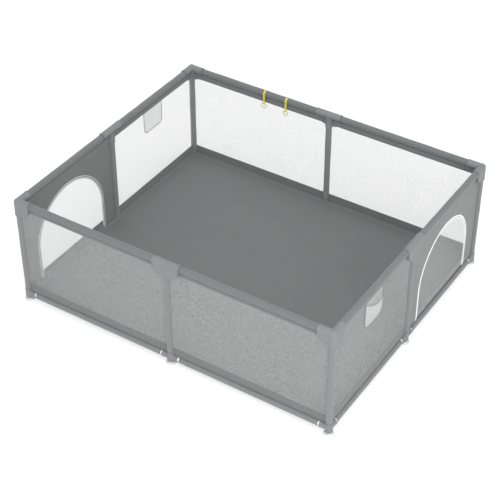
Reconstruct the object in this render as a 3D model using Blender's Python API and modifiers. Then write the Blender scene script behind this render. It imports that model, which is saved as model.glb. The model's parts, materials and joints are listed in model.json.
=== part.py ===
"""Rectangular baby playpen: a steel tube frame in a sewn cover of mesh and cloth.

Metres, +Z up. The origin is on the ground under the middle of the playpen, with +X
along a long side and +Y towards the back. The two short sides carry a zipped arch
door and an outside pocket each, and are the same wall turned half a turn.
"""

import math

import bmesh
import bpy
from mathutils import Matrix, Vector

# ---------------------------------------------------------------- driving sizes
LENGTH = 1.900  # over the rail sleeves, along X
WIDTH = 1.600  # over the rail sleeves, along Y
HEIGHT = 0.660  # ground to the top of the rail sleeves

TUBE_RADIUS = 0.0140  # steel tube of posts and rails
TUBE_WALL = 0.0008
TUBE_CLEAR = 0.006  # between the ends of two tubes that meet in a connector
SLEEVE_WALL = 0.0035  # padded cloth sleeve round each tube

TOP_COLLAR_WALL = 0.0065  # moulded connectors on the top rails
TOP_REACH = 0.078  # from the crossing of the tube axes to a collar's end
TOP_DROP = 0.0755  # from the rail axis down to the end of the post socket
FLAP_INSET = 0.004  # the outer flap's back face, out from the wall's plane
FLAP_RISE = 0.002  # the flap ends this far above the end of the post socket
FLAP_WRAP = 0.010  # how far a corner's flap runs past the post's axis
FLAP_FULLNESS = 0.75  # power under 1: the flap's arc is fuller than an ellipse

FOOT_COLLAR_WALL = 0.0045  # moulded connectors on the bottom rails
FOOT_REACH = 0.048
FOOT_RISE = 0.030  # from the rail axis up to the end of the post socket
FOOT_BASE_SWELL = 0.0015  # the round base is this much wider than the collars
FOOT_WEB = 0.006  # plastic between a suction cup's peg and the rail's bore
SOCKET_SWELL = 0.0012  # a connector's post socket is this much wider than its collars
TUBE_SHOW = 0.009  # bare tube between a foot and the sleeve beside it

CUP_RADIUS = 0.027
CUP_HEIGHT = 0.0117
CUP_RIM = 0.0035
CUP_PEG_RADIUS = 0.006
CUP_PEG_HEIGHT = 0.008

CLOTH = 0.003  # wall, door and floor cloth with its seams
FLOOR_RISE = 0.008  # top of the floor cloth above the bottom rail's axis

DOOR_RADIUS = 0.270  # half the doorway's width, and its arch
DOOR_HEADROOM = 0.1275  # from the arch's top up to the rail's axis
DOOR_SILL_RISE = 0.0225  # the doorway's lower edge above the bottom rail's axis
HINGE_RISE = 0.004  # the flap's fold line above the doorway's lower edge
ZIP_GAP = 0.0012

SLIDER_SIZE = Vector((0.0035, 0.0085, 0.012))
SLIDER_LIFT = 0.0030  # its back face, out from the middle of the wall cloth
PULL_SIZE = Vector((0.0016, 0.0050, 0.020))
SLIDER_RISE = 0.0155  # the pull's lower end above the doorway's lower edge, door closed

POCKET_WIDTH = 0.170
POCKET_HEIGHT = 0.132
POCKET_HANG = 0.0705  # the pocket's mouth below the rail's axis
POCKET_DEPTH = 0.028  # at the mouth
POCKET_WAIST_DEPTH = 0.0224  # half-way down
POCKET_FOOT_DEPTH = 0.008
POCKET_CORNER = 0.034
POCKET_CLOTH = 0.002

STRAP_PLACES = {"left": -0.420, "right": -0.275}  # along the back rail
STRAP_WIDTH = 0.013
STRAP_THICKNESS = 0.0016
STRAP_GAP = 0.0007  # between the strap and the rail sleeve
STRAP_DROP = 0.0575  # from the rail axis down to the middle of the strap's eye
RING_RADIUS = 0.0150  # to the middle of the ring's section
RING_SECTION = 0.0022
EYE_PLAY = 0.0004
EYE_WALL = 0.0015

CUT_PAST = 0.008  # how far a cavity's cutter runs past its mouth
GAP = 0.0005  # between neighbours that touch on the real thing
FIT = 0.0003  # round a tube in its socket or sleeve
SEWN_IN = 0.0017  # how far wall cloth runs into the wall of a sleeve

SIDES = 12  # facets round a tube; a multiple of 4 keeps a tube's facets in line with its bore's
ARCH_STEPS = 16
FLAP_STEPS = 12
CORNER_STEPS = 6
RING_STEPS = 24
RING_SIDES = 8

# ------------------------------------------------------------- derived places
SLEEVE_RADIUS = TUBE_RADIUS + SLEEVE_WALL
TOP_COLLAR_RADIUS = TUBE_RADIUS + TOP_COLLAR_WALL
FOOT_COLLAR_RADIUS = TUBE_RADIUS + FOOT_COLLAR_WALL
FOOT_BASE_RADIUS = FOOT_COLLAR_RADIUS + FOOT_BASE_SWELL
TUBE_STOP = TUBE_RADIUS + TUBE_CLEAR  # tubes end this far from the crossing of their axes
RAIL_X = LENGTH / 2 - SLEEVE_RADIUS
RAIL_Y = WIDTH / 2 - SLEEVE_RADIUS
RAIL_TOP = HEIGHT - SLEEVE_RADIUS
BORE = TUBE_RADIUS + FIT
BOTTOM_RAIL_HEIGHT = CUP_HEIGHT + CUP_PEG_HEIGHT + FOOT_WEB + BORE
SHORT_BAY_MIDDLE = RAIL_Y / 2  # of the two bays of a short side, from its mid post
DOOR_SPRING = RAIL_TOP - DOOR_HEADROOM - DOOR_RADIUS  # height at which the arch starts
DOOR_SILL = BOTTOM_RAIL_HEIGHT + DOOR_SILL_RISE
POCKET_TOP = RAIL_TOP - POCKET_HANG
POCKET_BOTTOM = POCKET_TOP - POCKET_HEIGHT
TOP_SOCKET_RADIUS = TOP_COLLAR_RADIUS + SOCKET_SWELL
FOOT_SOCKET_RADIUS = FOOT_COLLAR_RADIUS + SOCKET_SWELL
UP = Vector((0, 0, 1))
TURN = {"front": 0, "right": 90, "back": 180, "left": 270}  # of each side about Z

COLOURS = {
    "steel": ((0.86, 0.86, 0.85), 0.35, 0.6),
    "connector": ((0.24, 0.25, 0.26), 0.55, 0.0),
    "cup": ((0.85, 0.87, 0.88), 0.25, 0.0),
    "cover": ((0.20, 0.21, 0.22), 0.9, 0.0),
    "mesh": ((0.62, 0.63, 0.64), 0.9, 0.0),
    "yellow": ((0.85, 0.72, 0.08), 0.6, 0.0),
    "zip": ((0.80, 0.80, 0.80), 0.4, 0.0),
}


# -------------------------------------------------------------------- helpers
def clear_scene():
    for obj in list(bpy.data.objects):
        bpy.data.objects.remove(obj, do_unlink=True)


def new_collection(name):
    collection = bpy.data.collections.new(name)
    bpy.context.scene.collection.children.link(collection)
    return collection


def make_material(node, look):
    colour, roughness, metallic = COLOURS[look]
    material = bpy.data.materials.new(node)
    material.use_nodes = True
    shader = material.node_tree.nodes["Principled BSDF"]
    shader.inputs["Base Color"].default_value = (*colour, 1.0)
    shader.inputs["Roughness"].default_value = roughness
    shader.inputs["Metallic"].default_value = metallic
    return material


def mesh_from(bm):
    bmesh.ops.recalc_face_normals(bm, faces=bm.faces)
    mesh = bpy.data.meshes.new("shape")
    bm.to_mesh(mesh)
    bm.free()
    return mesh


def box(low, high):
    """A box between two corners."""
    low, high = Vector(low), Vector(high)
    bm = bmesh.new()
    bmesh.ops.create_cube(bm, size=1)
    bmesh.ops.scale(bm, vec=high - low, verts=bm.verts)
    bmesh.ops.translate(bm, vec=(low + high) / 2, verts=bm.verts)
    return mesh_from(bm)


def rod(start, end, radius):
    """A round bar between two points."""
    start, end = Vector(start), Vector(end)
    along = end - start
    place = Matrix.Translation((start + end) / 2) @ UP.rotation_difference(along).to_matrix().to_4x4()
    bm = bmesh.new()
    bmesh.ops.create_cone(
        bm,
        cap_ends=True,
        segments=SIDES,
        radius1=radius,
        radius2=radius,
        depth=along.length,
        matrix=place,
    )
    return mesh_from(bm)


def plate(outline, thickness, axes, start):
    """A flat outline pushed through a thickness.

    outline holds (u, v) points, axes are the world directions of u, v and the
    thickness, and start is where the point (0, 0) of the first face lies.
    """
    u_axis, v_axis, through = (Vector(axis) for axis in axes)
    bm = bmesh.new()
    points = [bm.verts.new(Vector(start) + u_axis * u + v_axis * v) for u, v in outline]
    face = bm.faces.new(points)
    pushed = bmesh.ops.extrude_face_region(bm, geom=[face])["geom"]
    moved = [item for item in pushed if isinstance(item, bmesh.types.BMVert)]
    bmesh.ops.translate(bm, vec=through * thickness, verts=moved)
    return mesh_from(bm)


def turned(profile, steps=SIDES):
    """A profile of (radius, height) points turned round Z, down its outer side first."""
    mesh = bpy.data.meshes.new("profile")
    points = [(radius, 0, height) for radius, height in profile]
    on_axis = profile[0][0] == 0 and profile[-1][0] == 0
    edges = [(i, i + 1) for i in range(len(points) - 1)]
    if not on_axis:
        edges.append((len(points) - 1, 0))
    mesh.from_pydata(points, edges, [])
    obj = bpy.data.objects.new("profile", mesh)
    screw = obj.modifiers.new("turn", "SCREW")
    screw.steps = screw.render_steps = steps
    screw.use_merge_vertices = True
    screw.merge_threshold = 0.00001
    return applied(obj)


def applied(obj):
    """The mesh of a helper object with its modifiers applied; the helper is removed."""
    bpy.context.scene.collection.objects.link(obj)
    graph = bpy.context.evaluated_depsgraph_get()
    mesh = bpy.data.meshes.new_from_object(obj.evaluated_get(graph))
    bpy.data.objects.remove(obj, do_unlink=True)
    return mesh


def combined(base, add=(), cut=(), keep=()):
    """base with the meshes of add joined to it, those of cut taken out, and only
    what also lies inside each mesh of keep left."""
    obj = bpy.data.objects.new("work", base)
    tools = []
    for operation, meshes in (("UNION", add), ("DIFFERENCE", cut), ("INTERSECT", keep)):
        for mesh in meshes:
            tool = bpy.data.objects.new("tool", mesh)
            bpy.context.scene.collection.objects.link(tool)
            boolean = obj.modifiers.new(operation.lower(), "BOOLEAN")
            boolean.operation = operation
            boolean.solver = "EXACT"
            boolean.object = tool
            tools.append(tool)
    result = applied(obj)
    for tool in tools:
        bpy.data.objects.remove(tool, do_unlink=True)
    return result


def tidy_faces(mesh):
    """Joins the flat facets that a Boolean leaves split, and shades round ones smooth."""
    bm = bmesh.new()
    bm.from_mesh(mesh)
    bmesh.ops.remove_doubles(bm, verts=bm.verts, dist=0.000005)
    bmesh.ops.dissolve_limit(
        bm, angle_limit=math.radians(0.05), verts=bm.verts, edges=bm.edges, use_dissolve_boundaries=False
    )
    bm.to_mesh(mesh)
    bm.free()
    mesh.shade_smooth()
    mesh.set_sharp_from_angle(angle=math.radians(35))
    return mesh


def add_part(name, mesh, look, location=(0, 0, 0), turn=0, parent=None):
    """A node: its own object with its own material."""
    obj = bpy.data.objects.new(name, mesh)
    PARTS.objects.link(obj)
    obj.location = location
    obj.rotation_euler = (0, 0, math.radians(turn))
    if parent is not None:
        obj.parent = parent
    mesh.materials.clear()
    mesh.materials.append(None)
    obj.material_slots[0].link = "OBJECT"
    obj.material_slots[0].material = make_material(name, look)
    return obj


def add_pivot(name, location, turn=0, parent=None):
    """An empty on a joint's axis."""
    pivot = bpy.data.objects.new(name, None)
    PARTS.objects.link(pivot)
    pivot.empty_display_size = 0.03
    pivot.location = location
    pivot.rotation_euler = (0, 0, math.radians(turn))
    if parent is not None:
        pivot.parent = parent
    return pivot


def corners():
    """Name, place and turn of each corner; the front left one is the model."""
    return (
        ("front_left", (-RAIL_X, -RAIL_Y), 0),
        ("front_right", (RAIL_X, -RAIL_Y), 90),
        ("back_right", (RAIL_X, RAIL_Y), 180),
        ("back_left", (-RAIL_X, RAIL_Y), 270),
    )


def middles():
    """Name, place and turn of the middle of each side; the front one is the model."""
    return (
        ("front", (0, -RAIL_Y), 0),
        ("right", (RAIL_X, 0), 90),
        ("back", (0, RAIL_Y), 180),
        ("left", (-RAIL_X, 0), 270),
    )


# --------------------------------------------------------------- tube frame
def tube_mesh(length):
    """An open steel tube standing on its own origin."""
    inner = TUBE_RADIUS - TUBE_WALL
    return turned([(TUBE_RADIUS, length), (TUBE_RADIUS, 0), (inner, 0), (inner, length)])


def build_posts():
    low = BOTTOM_RAIL_HEIGHT + TUBE_STOP
    mesh = tidy_faces(tube_mesh(RAIL_TOP - TUBE_STOP - low))
    for name, (x, y), _ in corners():
        add_part("corner_post_" + name, mesh, "steel", (x, y, low))
    for name, (x, y), _ in middles():
        add_part("mid_post_" + name, mesh, "steel", (x, y, low))


def build_rails():
    """Each side has two rails in line at the top and two at the bottom."""
    for level, height in (("top_rail", RAIL_TOP), ("bottom_rail", BOTTOM_RAIL_HEIGHT)):
        for half_side, span, names in (
            (RAIL_X, Vector((1, 0, 0)), (("front", -1), ("back", 1))),
            (RAIL_Y, Vector((0, 1, 0)), (("left", -1), ("right", 1))),
        ):
            mesh = tidy_faces(tube_mesh(half_side - 2 * TUBE_STOP))
            across = Vector((span.y, span.x, 0))
            offset = RAIL_Y if span.x else RAIL_X
            ends = ("left", "right") if span.x else ("front", "back")
            for side, sign in names:
                for end, start in zip(ends, (-half_side + TUBE_STOP, TUBE_STOP)):
                    place = span * start + across * (sign * offset) + UP * height
                    rail = add_part(f"{level}_{side}_{end}", mesh, "steel", place)
                    rail.rotation_euler = UP.rotation_difference(span).to_euler()


# --------------------------------------------------------------- connectors
def bore_cutters(reach, directions):
    """Socket cutters for tubes that leave the crossing of the axes in these directions."""
    cutters = []
    for direction in directions:
        direction = Vector(direction)
        start = direction * (TUBE_STOP - GAP)
        cutters.append(rod(start, direction * (2 * reach), BORE))
    return cutters


def flap_outline(left, right, drop):
    """Half of a rounded shield under the rail: straight at the rail, round below.

    left and right say how far it reaches; a side with no reach ends at the post.
    """
    points = []
    for step in range(FLAP_STEPS + 1):
        angle = math.pi + math.pi * step / FLAP_STEPS
        reach = left if math.cos(angle) < 0 else right
        across = math.copysign(abs(math.cos(angle)) ** FLAP_FULLNESS, math.cos(angle))
        points.append((across * reach, -drop * abs(math.sin(angle)) ** FLAP_FULLNESS))
    return points


def flap(left, right, outward):
    """The shield on the face that looks along outward."""
    along = Vector((-outward[1], outward[0], 0)) if outward[1] else Vector((0, 1, 0))
    axes = (along, UP, Vector(outward))
    start = Vector(outward) * FLAP_INSET
    thickness = TOP_COLLAR_RADIUS - FLAP_INSET - GAP
    return plate(flap_outline(left, right, TOP_DROP - FLAP_RISE), thickness, axes, start)


def upright_socket(radius, end):
    """A post socket that starts inside the collar, with its flat end at this height."""
    start = -math.copysign(radius / 4, end)
    mesh = rod((0, 0, start), (0, 0, end), radius)
    # half a facet round, so that its edges don't run along those of the collar
    mesh.transform(Matrix.Rotation(math.pi / SIDES, 4, "Z"))
    return mesh


def domed_socket(radius, end):
    """An upright post socket with a dome over the crossing of the axes.

    end is the height of its flat end, above or below the crossing; the dome is on
    the other side.
    """
    away = -math.copysign(1, end)
    profile = [
        (radius * math.sin(math.radians(angle)), away * radius * math.cos(math.radians(angle)))
        for angle in range(0, 91, 15)
    ]
    profile += [(radius, end), (0, end)]
    mesh = turned(profile if away > 0 else profile[::-1])
    # half a facet round, so that its edges don't run along those of the collars
    mesh.transform(Matrix.Rotation(math.pi / SIDES, 4, "Z"))
    return mesh


def top_tee_mesh():
    """Connector over a mid post of the front side, at the crossing of the axes."""
    collar = rod((-TOP_REACH, 0, 0), (TOP_REACH, 0, 0), TOP_COLLAR_RADIUS)
    socket = upright_socket(TOP_SOCKET_RADIUS, -TOP_DROP)
    shield = flap(TOP_REACH - GAP, TOP_REACH - GAP, (0, -1, 0))
    cuts = bore_cutters(TOP_REACH, ((1, 0, 0), (-1, 0, 0), (0, 0, -1)))
    return tidy_faces(combined(collar, add=(socket, shield), cut=cuts))


def top_corner_mesh():
    """Connector of the front left corner: its rails leave along +X and +Y."""
    collar_x = rod((0, 0, 0), (TOP_REACH, 0, 0), TOP_COLLAR_RADIUS)
    collar_y = rod((0, 0, 0), (0, TOP_REACH, 0), TOP_COLLAR_RADIUS)
    socket = domed_socket(TOP_SOCKET_RADIUS, -TOP_DROP)
    front = flap(FLAP_WRAP, TOP_REACH - GAP, (0, -1, 0))
    side = flap(FLAP_WRAP, TOP_REACH - GAP, (-1, 0, 0))
    cuts = bore_cutters(TOP_REACH, ((1, 0, 0), (0, 1, 0), (0, 0, -1)))
    return tidy_faces(combined(collar_x, add=(collar_y, socket, front, side), cut=cuts))


def foot_base():
    """The round base under a foot connector, down to the suction cup."""
    return rod((0, 0, 0), (0, 0, CUP_HEIGHT + FIT - BOTTOM_RAIL_HEIGHT), FOOT_BASE_RADIUS)


def foot_corner_mesh():
    collar_x = rod((0, 0, 0), (FOOT_REACH, 0, 0), FOOT_COLLAR_RADIUS)
    collar_y = rod((0, 0, 0), (0, FOOT_REACH, 0), FOOT_COLLAR_RADIUS)
    socket = domed_socket(FOOT_SOCKET_RADIUS, FOOT_RISE)
    cuts = bore_cutters(FOOT_REACH, ((1, 0, 0), (0, 1, 0), (0, 0, 1)))
    cuts.append(peg_hole())
    return tidy_faces(combined(collar_x, add=(collar_y, socket, foot_base()), cut=cuts))


def peg_hole():
    low = CUP_HEIGHT - BOTTOM_RAIL_HEIGHT
    return rod((0, 0, low - GAP), (0, 0, low + CUP_PEG_HEIGHT + GAP), CUP_PEG_RADIUS + FIT)


def cup_mesh(peg_top):
    """A suction cup on the ground: a flat rim round a shallow dome, and a peg on top."""
    dome = CUP_RADIUS - CUP_RIM
    return turned(
        [
            (0, peg_top),
            (CUP_PEG_RADIUS, peg_top),
            (CUP_PEG_RADIUS, CUP_HEIGHT),
            (CUP_RADIUS * 0.62, CUP_HEIGHT),
            (CUP_RADIUS * 0.86, CUP_HEIGHT * 0.55),
            (CUP_RADIUS, CUP_HEIGHT * 0.17),
            (CUP_RADIUS, 0),
            (dome, 0),
            (dome * 0.6, CUP_HEIGHT * 0.32),
            (0, CUP_HEIGHT * 0.43),
        ]
    )


def foot_tee_mesh():
    """A mid foot, with its suction cup moulded on."""
    collar = rod((-FOOT_REACH, 0, 0), (FOOT_REACH, 0, 0), FOOT_COLLAR_RADIUS)
    socket = upright_socket(FOOT_SOCKET_RADIUS, FOOT_RISE)
    cup = cup_mesh(CUP_HEIGHT + CUP_PEG_HEIGHT)
    cup.transform(Matrix.Translation((0, 0, -BOTTOM_RAIL_HEIGHT)))
    cuts = bore_cutters(FOOT_REACH, ((1, 0, 0), (-1, 0, 0), (0, 0, 1)))
    return tidy_faces(combined(collar, add=(socket, foot_base(), cup), cut=cuts))


def build_connectors():
    top_corner = top_corner_mesh()
    foot_corner = foot_corner_mesh()
    cup = tidy_faces(cup_mesh(CUP_HEIGHT + CUP_PEG_HEIGHT))
    for name, (x, y), turn in corners():
        add_part("top_corner_" + name, top_corner, "connector", (x, y, RAIL_TOP), turn)
        add_part("foot_corner_" + name, foot_corner, "connector", (x, y, BOTTOM_RAIL_HEIGHT), turn)
        add_part("suction_cup_" + name, cup, "cup", (x, y, 0))
    top_tee = top_tee_mesh()
    foot_tee = foot_tee_mesh()
    for name, (x, y), turn in middles():
        add_part("top_tee_" + name, top_tee, "connector", (x, y, RAIL_TOP), turn)
        add_part("foot_tee_" + name, foot_tee, "connector", (x, y, BOTTOM_RAIL_HEIGHT), turn)


# --------------------------------------------------------------- sewn cover
def sleeve_rods(half, with_corner_posts):
    """The solid cloth sleeves of one side: rails, mid post and, on two sides, corner posts."""
    rods = []
    for sign in (-1, 1):
        for height, near, far in (
            (RAIL_TOP, TOP_REACH + GAP, half - TOP_REACH - GAP),
            (BOTTOM_RAIL_HEIGHT, FOOT_REACH + TUBE_SHOW, half - FOOT_REACH - TUBE_SHOW),
        ):
            rods.append(rod((sign * near, 0, height), (sign * far, 0, height), SLEEVE_RADIUS))
    for x in (-half, 0, half) if with_corner_posts else (0,):
        rods.append(rod((x, 0, post_sleeve_low()), (x, 0, post_sleeve_high()), SLEEVE_RADIUS))
    return rods


def post_sleeve_low():
    return BOTTOM_RAIL_HEIGHT + FOOT_RISE + GAP


def post_sleeve_high():
    return RAIL_TOP - TOP_DROP - GAP


def tube_cutters(half):
    """The bores of all sleeves of one side."""
    past = half + SLEEVE_RADIUS
    cutters = [rod((-past, 0, z), (past, 0, z), BORE) for z in (RAIL_TOP, BOTTOM_RAIL_HEIGHT)]
    cutters += [rod((x, 0, 0), (x, 0, HEIGHT), BORE) for x in (-half, 0, half)]
    return cutters


def notch_cutters(half):
    """Room in the wall cloth for the connectors at both ends and in the middle."""
    past = SLEEVE_RADIUS / 2
    cutters = []
    for x in (-half, 0, half):
        for reach, low, high in (
            (TOP_REACH, RAIL_TOP - TOP_COLLAR_RADIUS, HEIGHT),
            (TOP_SOCKET_RADIUS, RAIL_TOP - TOP_DROP, HEIGHT),
            (FOOT_REACH, 0, BOTTOM_RAIL_HEIGHT + FOOT_COLLAR_RADIUS),
            (FOOT_SOCKET_RADIUS, 0, BOTTOM_RAIL_HEIGHT + FOOT_RISE),
        ):
            reach = reach + GAP
            cutters.append(box((x - reach, -past, low - GAP), (x + reach, past, high + GAP)))
    return cutters


def arch_outline(radius, low):
    """A doorway: straight sides from low up to the arch."""
    points = [(-radius, low), (radius, low)]
    for step in range(ARCH_STEPS + 1):
        angle = math.pi * step / ARCH_STEPS
        points.append((radius * math.cos(angle), DOOR_SPRING + radius * math.sin(angle)))
    return points


def wall_mesh(half, with_corner_posts, doorway=None):
    """One side of the cover, seen from outside along +Y, in the plane of the tube axes.

    doorway is the arch's middle along the side, or None.
    """
    edge = half - SLEEVE_RADIUS + SEWN_IN if with_corner_posts else half - SLEEVE_RADIUS - GAP
    low = BOTTOM_RAIL_HEIGHT + SLEEVE_RADIUS - SEWN_IN
    high = RAIL_TOP - SLEEVE_RADIUS + SEWN_IN
    cloth = box((-edge, -CLOTH / 2, low), (edge, CLOTH / 2, high))
    cloth = combined(cloth, cut=notch_cutters(half))
    if doorway is not None:
        outline = arch_outline(DOOR_RADIUS, DOOR_SILL)
        axes = ((1, 0, 0), (0, 0, 1), (0, 1, 0))
        cutter = plate(outline, CLOTH * 3, axes, (doorway, -CLOTH * 1.5, 0))
        cloth = combined(cloth, cut=(cutter,))
    whole = combined(cloth, add=sleeve_rods(half, with_corner_posts), cut=tube_cutters(half))
    return tidy_faces(whole)


def build_walls():
    long_wall = wall_mesh(RAIL_X, True)
    short_wall = wall_mesh(RAIL_Y, False, doorway=SHORT_BAY_MIDDLE)
    for name, (x, y), turn in middles():
        mesh = long_wall if x == 0 else short_wall
        add_part("wall_" + name, mesh, "cover", (x, y, 0), turn)


def build_floor():
    inset = max(FOOT_SOCKET_RADIUS, SLEEVE_RADIUS) + GAP
    x, y = RAIL_X - inset, RAIL_Y - inset
    top = BOTTOM_RAIL_HEIGHT + FLOOR_RISE
    mesh = tidy_faces(box((-x, -y, top - CLOTH), (x, y, top)))
    add_part("floor_cloth", mesh, "cover")


# ------------------------------------------------- doors, pockets and pulls
def side_pivot(name, side, along, height):
    """An empty in the plane of a side wall, along from its middle, with -Y outwards."""
    turn = TURN[side]
    spin = Matrix.Rotation(math.radians(turn), 4, "Z")
    place = spin @ Vector((along, -RAIL_X, height))
    return add_pivot(name, place, turn)


def door_mesh():
    """The flap, standing on its fold line."""
    low = -CLOTH / 2
    outline = arch_outline(DOOR_RADIUS - ZIP_GAP, 0)
    fold = DOOR_SILL + HINGE_RISE
    outline = [(u, max(v - fold, low)) for u, v in outline]
    axes = ((1, 0, 0), (0, 0, 1), (0, 1, 0))
    return tidy_faces(plate(outline, CLOTH, axes, (0, -CLOTH / 2, 0)))


def slider_mesh():
    """A zip slider with its pull hanging from it, the pull's lower end at the origin."""
    depth, width, height = SLIDER_SIZE
    pull_depth, pull_width, pull_height = PULL_SIZE
    back = -SLIDER_LIFT
    overlap = 0.002
    body_low = pull_height - overlap
    body = box((-width / 2, back - depth, body_low), (width / 2, back, body_low + height))
    front = back - (depth - pull_depth) / 2
    pull = box((-pull_width / 2, front - pull_depth, 0), (pull_width / 2, front, pull_height))
    return tidy_faces(combined(body, add=(pull,)))


def build_doors():
    door = door_mesh()
    slider = slider_mesh()
    beside = DOOR_RADIUS + SLIDER_SIZE.y / 2 + ZIP_GAP
    for side in ("left", "right"):
        pivot = side_pivot("door_fold_" + side, side, SHORT_BAY_MIDDLE, DOOR_SILL + HINGE_RISE)
        add_part("door_" + side, door, "mesh", parent=pivot)
        start = DOOR_SILL + SLIDER_RISE
        track = side_pivot("zip_track_" + side, side, SHORT_BAY_MIDDLE + beside, start)
        add_part("zip_slider_" + side, slider, "zip", parent=track)


def pocket_outline(inset, top):
    """The pocket's U, with rounded lower corners, inset from its edge."""
    half = POCKET_WIDTH / 2 - inset
    low = POCKET_BOTTOM + inset
    radius = POCKET_CORNER - inset
    points = [(half, top), (-half, top)]
    for centre, start in ((-half + radius, 180), (half - radius, 270)):
        for step in range(CORNER_STEPS + 1):
            angle = math.radians(start + 90 * step / CORNER_STEPS)
            points.append((centre + radius * math.cos(angle), low + radius + radius * math.sin(angle)))
    return points


def pocket_wedge(inset, top):
    """The pocket's side view pushed across its width: deep at the top, thin at the foot."""
    half = POCKET_WIDTH / 2 - inset
    low = POCKET_BOTTOM + inset
    outline = [
        (inset, low),
        (POCKET_FOOT_DEPTH - inset, low),
        (POCKET_WAIST_DEPTH - inset, (POCKET_TOP + POCKET_BOTTOM) / 2),
        (POCKET_DEPTH - inset, top),
        (inset, top),
    ]
    back = -CLOTH / 2 - FIT
    return plate(outline, 2 * half, ((0, -1, 0), UP, (1, 0, 0)), (-half, back, 0))


def pocket_solid(inset, top):
    axes = ((1, 0, 0), (0, 0, 1), (0, -1, 0))
    u_shape = plate(pocket_outline(inset, top), POCKET_DEPTH * 2, axes, (0, 0, 0))
    return combined(pocket_wedge(inset, top), keep=(u_shape,))


def build_pockets():
    cavity = pocket_solid(POCKET_CLOTH, POCKET_TOP + CUT_PAST)
    mesh = tidy_faces(combined(pocket_solid(0, POCKET_TOP), cut=(cavity,)))
    for side in ("left", "right"):
        pivot = side_pivot("pocket_place_" + side, side, -SHORT_BAY_MIDDLE, 0)
        add_part("pocket_" + side, mesh, "mesh", parent=pivot)


def eye_radius():
    """The strap's eye clears the ring's inner edge over the strap's whole width."""
    inner = RING_RADIUS - RING_SECTION
    reach = RING_RADIUS - math.sqrt(inner**2 - (STRAP_WIDTH / 2) ** 2)
    return (reach + EYE_PLAY) / math.cos(math.pi / SIDES)


def strap_mesh():
    """The hanging part of a strap, its upper end at the origin, its eye round the ring."""
    half = STRAP_WIDTH / 2
    eye = (Vector((-half, 0, -STRAP_DROP)), Vector((half, 0, -STRAP_DROP)))
    ribbon = box(
        (-half, -STRAP_THICKNESS / 2, -STRAP_DROP + eye_radius()),
        (half, STRAP_THICKNESS / 2, 0),
    )
    loop = rod(*eye, eye_radius() + EYE_WALL)
    hole = rod(eye[0] * 2 - eye[1], eye[1] * 2 - eye[0], eye_radius())
    return tidy_faces(combined(ribbon, add=(loop,), cut=(hole,)))


def ring_mesh():
    """A torus that hangs from the origin."""
    section = []
    for step in range(RING_SIDES):
        angle = -2 * math.pi * step / RING_SIDES
        radius = RING_RADIUS + RING_SECTION * math.cos(angle)
        section.append((radius, RING_SECTION * math.sin(angle)))
    mesh = turned(section, steps=RING_STEPS)
    mesh.transform(Matrix.Translation((0, 0, -RING_RADIUS)) @ Matrix.Rotation(math.pi / 2, 4, "X"))
    return tidy_faces(mesh)


def build_pulls():
    strap = strap_mesh()
    ring = ring_mesh()
    y = RAIL_Y - SLEEVE_RADIUS - STRAP_GAP - STRAP_THICKNESS / 2
    for name, x in STRAP_PLACES.items():
        pivot = add_pivot("strap_fold_" + name, (x, y, RAIL_TOP))
        add_part("pull_strap_" + name, strap, "yellow", parent=pivot)
        eye = add_pivot("ring_eye_" + name, (0, 0, -STRAP_DROP), parent=pivot)
        add_part("pull_ring_" + name, ring, "yellow", parent=eye)


clear_scene()
PARTS = new_collection("playpen")
build_posts()
build_rails()
build_connectors()
build_walls()
build_floor()
build_doors()
build_pockets()
build_pulls()
bpy.context.view_layer.update()
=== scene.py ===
"""Looks of the playpen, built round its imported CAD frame.

Each side of the playpen is made in its own frame: X along the side from its middle,
-Y outwards from the plane of the tube axes, and Z up from the ground.
"""

import json
import math

import bmesh
import bpy
import numpy as np
from mathutils import Matrix, Vector


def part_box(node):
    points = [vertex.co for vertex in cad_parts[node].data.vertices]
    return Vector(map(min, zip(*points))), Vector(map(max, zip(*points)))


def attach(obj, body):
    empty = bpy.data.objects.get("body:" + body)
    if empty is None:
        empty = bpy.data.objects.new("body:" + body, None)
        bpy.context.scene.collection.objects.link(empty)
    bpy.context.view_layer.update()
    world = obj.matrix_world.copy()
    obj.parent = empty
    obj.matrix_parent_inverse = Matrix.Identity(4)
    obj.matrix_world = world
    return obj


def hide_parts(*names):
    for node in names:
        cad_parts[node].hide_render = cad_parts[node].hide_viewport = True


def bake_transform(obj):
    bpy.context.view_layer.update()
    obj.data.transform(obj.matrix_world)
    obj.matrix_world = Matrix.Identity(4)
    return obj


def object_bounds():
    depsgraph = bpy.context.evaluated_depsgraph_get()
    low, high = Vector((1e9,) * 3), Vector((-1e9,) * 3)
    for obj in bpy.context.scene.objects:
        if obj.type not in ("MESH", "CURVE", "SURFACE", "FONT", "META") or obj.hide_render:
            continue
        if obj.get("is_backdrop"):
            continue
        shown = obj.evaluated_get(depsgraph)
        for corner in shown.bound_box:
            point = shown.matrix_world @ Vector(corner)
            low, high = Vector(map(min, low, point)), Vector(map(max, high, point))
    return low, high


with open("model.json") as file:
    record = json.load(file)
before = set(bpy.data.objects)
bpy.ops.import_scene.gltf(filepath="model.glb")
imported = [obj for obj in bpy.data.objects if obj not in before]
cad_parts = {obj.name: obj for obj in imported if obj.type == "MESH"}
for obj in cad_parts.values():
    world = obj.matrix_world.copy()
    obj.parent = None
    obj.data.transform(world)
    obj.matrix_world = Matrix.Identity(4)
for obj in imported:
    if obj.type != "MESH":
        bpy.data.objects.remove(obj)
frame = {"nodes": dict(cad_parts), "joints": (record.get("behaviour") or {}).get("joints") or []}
CAD_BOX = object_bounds()


# ------------------------------------------------------- places from the frame
def middle(node):
    low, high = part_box(node)
    return (low + high) / 2


def extent(node):
    low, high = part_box(node)
    return high - low


RAIL_X = middle("mid_post_right").x
RAIL_Y = middle("mid_post_back").y
TOP = middle("top_rail_front_left").z
BOTTOM = middle("bottom_rail_front_left").z
TUBE = extent("mid_post_front").x / 2
SLEEVE = extent("wall_front").y / 2

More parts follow.
